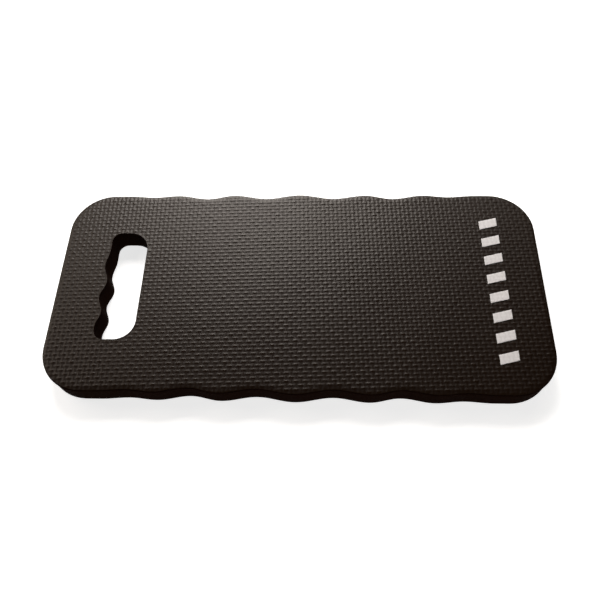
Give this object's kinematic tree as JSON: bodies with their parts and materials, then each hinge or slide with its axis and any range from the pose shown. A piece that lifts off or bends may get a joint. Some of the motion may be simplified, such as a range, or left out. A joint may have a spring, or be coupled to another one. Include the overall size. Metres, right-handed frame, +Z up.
{
  "type": "kneeling pad",
  "caption": "Flat foam pad to kneel on, with rounded corners, wavy long sides, an embossed face, a hand slot with finger grooves and a row of printed bars.",
  "frame": {"origin": "middle of the underside, on the surface that the pad lies on", "axes": "+X along the pad's length, away from the hand slot and towards the print; +Y across its width; +Z up through its thickness"},
  "size_m": [0.45, 0.208, 0.0232],
  "materials": {
    "foam": "matte closed-cell foam, basket weave embossed on the kneeling face, smooth cut walls",
    "ink": "screen-printed white ink, satin, following the embossed face"
  },
  "bodies": {
    "root": {"foam_pad": "foam", "print_bar_1": "ink", "print_bar_2": "ink", "print_bar_3": "ink", "print_bar_4": "ink", "print_bar_5": "ink", "print_bar_6": "ink", "print_bar_7": "ink", "print_bar_8": "ink"}
  },
  "joints": []
}
